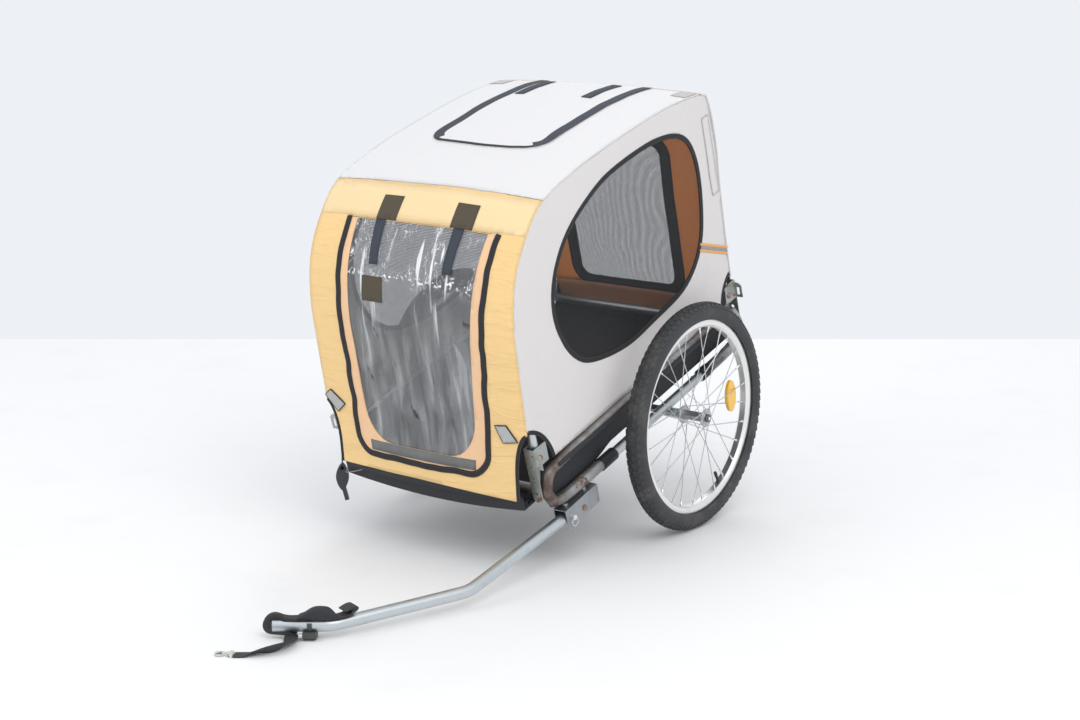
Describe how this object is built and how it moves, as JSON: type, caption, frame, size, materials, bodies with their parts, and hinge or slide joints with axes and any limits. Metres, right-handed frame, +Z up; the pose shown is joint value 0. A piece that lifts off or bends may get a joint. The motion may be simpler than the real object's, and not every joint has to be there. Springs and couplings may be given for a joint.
{
  "type": "bicycle trailer",
  "caption": "Folding two-wheeled fabric trailer for a pet or load, with a side tow arm that fastens to a bicycle's rear frame.",
  "frame": {"origin": "middle of the bounding box on the floor that the tyres and the clamp block stand on", "axes": "+X forward to the end of the tow arm, +Y to the trailer's left, the tow arm's side, +Z up"},
  "size_m": [1.4563, 0.7186, 0.9234],
  "materials": {
    "galvanised_steel": "dull zinc with rust spots",
    "light_tube": "dull silver tube",
    "dark_steel": "dark grey paint",
    "bright_plating": "bright plated steel",
    "rim_alloy": "satin alloy",
    "tyre_rubber": "dusty black rubber",
    "black_plastic": "matt black moulding",
    "milky_plastic": "milky translucent moulding",
    "amber_lens": "amber reflector lens",
    "pale_fabric": "coated woven fabric, pale warm grey",
    "yellow_fabric": "coated woven fabric, faded yellow orange",
    "black_fabric": "black woven fabric and webbing",
    "netting": "fine black netting",
    "clear_sheet": "clear flexible sheet over netting",
    "grey_cord": "thin grey cord"
  },
  "bodies": {
    "chassis": {"left_side_frame": "galvanised_steel", "right_side_frame": "galvanised_steel", "left_middle_tube": "light_tube", "right_middle_tube": "light_tube", "left_front_ferrule": "black_plastic", "right_front_ferrule": "black_plastic", "left_rear_ferrule": "black_plastic", "right_rear_ferrule": "black_plastic", "axle_tube": "dark_steel", "front_crossbar": "light_tube", "rear_crossbar": "light_tube", "left_front_bracket": "galvanised_steel", "right_front_bracket": "galvanised_steel", "left_rear_bracket": "galvanised_steel", "right_rear_bracket": "galvanised_steel", "left_front_pivot_bolt": "bright_plating", "right_front_pivot_bolt": "bright_plating", "left_rear_pivot_bolt": "bright_plating", "right_rear_pivot_bolt": "bright_plating", "tub": "black_fabric", "hitch_bracket": "galvanised_steel", "arm_pivot_bolt": "bright_plating", "roof_panel": "pale_fabric", "left_side_panel": "pale_fabric", "right_side_panel": "pale_fabric", "left_window_net": "netting", "right_window_net": "netting", "front_panel": "yellow_fabric", "rear_panel": "yellow_fabric", "rear_window_net": "netting", "roof_window_net": "netting", "tether_cord": "black_plastic", "tether_pin": "black_plastic", "lanyard": "grey_cord"},
    "front_hoop": {"front_hoop": "light_tube"},
    "rear_hoop": {"rear_hoop": "light_tube"},
    "front_door": {"front_door": "yellow_fabric", "door_window": "clear_sheet"},
    "roof_flap": {"roof_flap": "pale_fabric"},
    "tow_arm": {"tow_arm": "galvanised_steel", "arm_end_cap": "black_plastic", "arm_clamp": "black_plastic", "arm_pad": "black_fabric", "safety_strap": "black_fabric", "snap_hook": "milky_plastic"},
    "snap_hook_gate": {"snap_hook_gate": "milky_plastic"},
    "clamp_wing_nut": {"clamp_wing_nut": "bright_plating"},
    "arm_lock_pin": {"arm_lock_pin": "bright_plating"},
    "left_axle": {"left_axle_pin": "bright_plating"},
    "right_axle": {"right_axle_pin": "bright_plating"},
    "left_wheel": {"left_tyre": "tyre_rubber", "left_rim": "rim_alloy", "left_hub": "bright_plating", "left_reflector": "amber_lens"},
    "right_wheel": {"right_tyre": "tyre_rubber", "right_rim": "rim_alloy", "right_hub": "bright_plating", "right_reflector": "amber_lens"},
    "left_button": {"left_push_button": "bright_plating"},
    "right_button": {"right_push_button": "bright_plating"}
  },
  "joints": [
    {"name": "front_hoop_fold", "type": "hinge", "parent": "chassis", "child": "front_hoop", "pos_m": [0.029, 0, 0.24633], "axis": [0, -1, 0], "range_deg": [0, 71], "deforming": ["left_side_panel", "right_side_panel", "left_window_net", "right_window_net", "front_panel", "rear_panel", "rear_window_net", "roof_panel", "roof_window_net", "front_door", "door_window", "roof_flap"]},
    {"name": "rear_hoop_fold", "type": "hinge", "parent": "chassis", "child": "rear_hoop", "pos_m": [-0.66463, 0, 0.46238], "axis": [0, 1, 0], "range_deg": [0, 74.6]},
    {"name": "front_door_hinge", "type": "hinge", "parent": "chassis", "child": "front_door", "pos_m": [0.09694, 0, 0.6965], "axis": [0, -1, 0], "range_deg": [0, 100]},
    {"name": "roof_flap_hinge", "type": "hinge", "parent": "chassis", "child": "roof_flap", "pos_m": [-0.51784, 0, 0.92862], "axis": [0, -1, 0], "range_deg": [0, 150]},
    {"name": "tow_arm_fold", "type": "hinge", "parent": "chassis", "child": "tow_arm", "pos_m": [-0.10048, 0.262, 0.11646], "axis": [0, 1, 0], "range_deg": [0, 180]},
    {"name": "lock_pin_slide", "type": "slide", "parent": "chassis", "child": "arm_lock_pin", "axis": [0, 1, 0], "range_m": [0, 0.05]},
    {"name": "wing_nut_turn", "type": "hinge", "parent": "tow_arm", "child": "clamp_wing_nut", "pos_m": [0.57632, 0.12905, 0.01], "axis": [0.5858, -0.8104, 0], "continuous": true},
    {"name": "hook_gate_hinge", "type": "hinge", "parent": "tow_arm", "child": "snap_hook_gate", "pos_m": [0.72052, 0.06782, 0.0028], "axis": [0, 0, -1], "range_deg": [0, 20], "stiffness_Nm_per_rad": 0.02, "springref_deg": -11.46},
    {"name": "left_axle_release", "type": "slide", "parent": "chassis", "child": "left_axle", "axis": [0, 1, 0], "range_m": [0, 0.075]},
    {"name": "right_axle_release", "type": "slide", "parent": "chassis", "child": "right_axle", "axis": [0, -1, 0], "range_m": [0, 0.075]},
    {"name": "left_wheel_spin", "type": "hinge", "parent": "left_axle", "child": "left_wheel", "pos_m": [-0.4375, 0.324, 0.245], "axis": [0, 1, 0], "continuous": true},
    {"name": "right_wheel_spin", "type": "hinge", "parent": "right_axle", "child": "right_wheel", "pos_m": [-0.4375, -0.324, 0.245], "axis": [0, 1, 0], "continuous": true},
    {"name": "left_button_press", "type": "slide", "parent": "left_axle", "child": "left_button", "axis": [0, -1, 0], "range_m": [0, 0.0025], "stiffness_N_per_m": 800, "springref_m": -0.001},
    {"name": "right_button_press", "type": "slide", "parent": "right_axle", "child": "right_button", "axis": [0, 1, 0], "range_m": [0, 0.0025], "stiffness_N_per_m": 800, "springref_m": -0.001}
  ],
  "couplings": [
    {"joint": "rear_hoop_fold", "follows": "front_hoop_fold", "ratio": 1.05}
  ]
}
